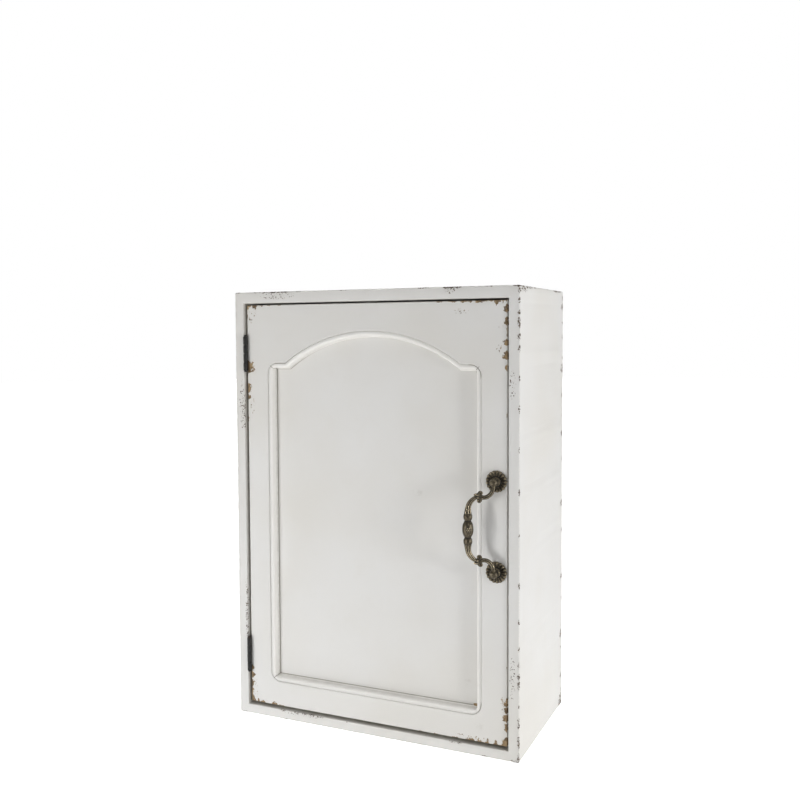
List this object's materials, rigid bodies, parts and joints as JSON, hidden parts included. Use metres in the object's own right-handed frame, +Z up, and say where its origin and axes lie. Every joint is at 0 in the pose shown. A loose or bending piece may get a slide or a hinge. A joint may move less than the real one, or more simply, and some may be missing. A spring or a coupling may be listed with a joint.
{
  "type": "apothecary cabinet",
  "caption": "Small painted wall cabinet with shelves and one inset door with an arch-topped panel, on butt hinges, opened by a swinging bail handle.",
  "frame": {"origin": "centre of the cabinet's underside, which is the bottom panel's lower face", "axes": "+Z up, -Y out of the door's face towards the user, +Y towards the wall, +X to the right seen from the front"},
  "size_m": [0.345, 0.2056, 0.5],
  "materials": {
    "paint": "satin off-white paint, brushed, chipped to brown wood along the arrises",
    "hardboard": "bare brown hardboard",
    "antique_brass": "dark antique patina, lighter on the rubbed high spots",
    "black_iron": "black japanned iron, slightly worn",
    "steel": "zinc plated",
    "white_plastic": "moulded, matte"
  },
  "bodies": {
    "cabinet": {"side_panel_left": "paint", "side_panel_right": "paint", "top_panel": "paint", "bottom_panel": "paint", "back_panel": "hardboard", "hanging_rail": "paint", "shelf_lower": "paint", "shelf_upper": "paint", "shelf_pin_lower_left_front": "steel", "shelf_pin_lower_left_rear": "steel", "shelf_pin_lower_right_front": "steel", "shelf_pin_lower_right_rear": "steel", "shelf_pin_upper_left_front": "steel", "shelf_pin_upper_left_rear": "steel", "shelf_pin_upper_right_front": "steel", "shelf_pin_upper_right_rear": "steel", "hanger_plate_left": "steel", "hanger_plate_right": "steel", "hanger_left_screw_top": "steel", "hanger_left_screw_bottom": "steel", "hanger_right_screw_top": "steel", "hanger_right_screw_bottom": "steel", "hinge_upper_case_leaf": "black_iron", "hinge_lower_case_leaf": "black_iron", "hinge_upper_pin": "black_iron", "hinge_lower_pin": "black_iron", "hinge_upper_case_screw_top": "black_iron", "hinge_upper_case_screw_bottom": "black_iron", "hinge_lower_case_screw_top": "black_iron", "hinge_lower_case_screw_bottom": "black_iron", "catch_housing": "white_plastic", "catch_magnet": "steel", "catch_screw_top": "steel", "catch_screw_bottom": "steel"},
    "door": {"door_stile_left": "paint", "door_stile_right": "paint", "door_rail_bottom": "paint", "door_rail_arched": "paint", "door_panel": "paint", "panel_bead_left": "paint", "panel_bead_right": "paint", "panel_bead_bottom": "paint", "panel_bead_arch": "paint", "hinge_upper_door_leaf": "black_iron", "hinge_lower_door_leaf": "black_iron", "hinge_upper_door_screw_top": "black_iron", "hinge_upper_door_screw_bottom": "black_iron", "hinge_lower_door_screw_top": "black_iron", "hinge_lower_door_screw_bottom": "black_iron", "strike_plate": "steel", "strike_plate_screw": "steel", "handle_rosette_upper": "antique_brass", "handle_rosette_lower": "antique_brass", "handle_post_upper": "antique_brass", "handle_post_lower": "antique_brass", "handle_screw_upper": "steel", "handle_screw_lower": "steel"},
    "bail": {"handle_bail": "antique_brass"}
  },
  "joints": [
    {"name": "door_hinge", "type": "hinge", "parent": "cabinet", "child": "door", "pos_m": [-0.1583, -0.0906, 0.25], "axis": [0, 0, -1], "range_deg": [0, 170]},
    {"name": "bail_swing", "type": "hinge", "parent": "door", "child": "bail", "pos_m": [0.147, -0.0986, 0.248], "axis": [0, 0, 1], "range_deg": [-20, 145]}
  ]
}
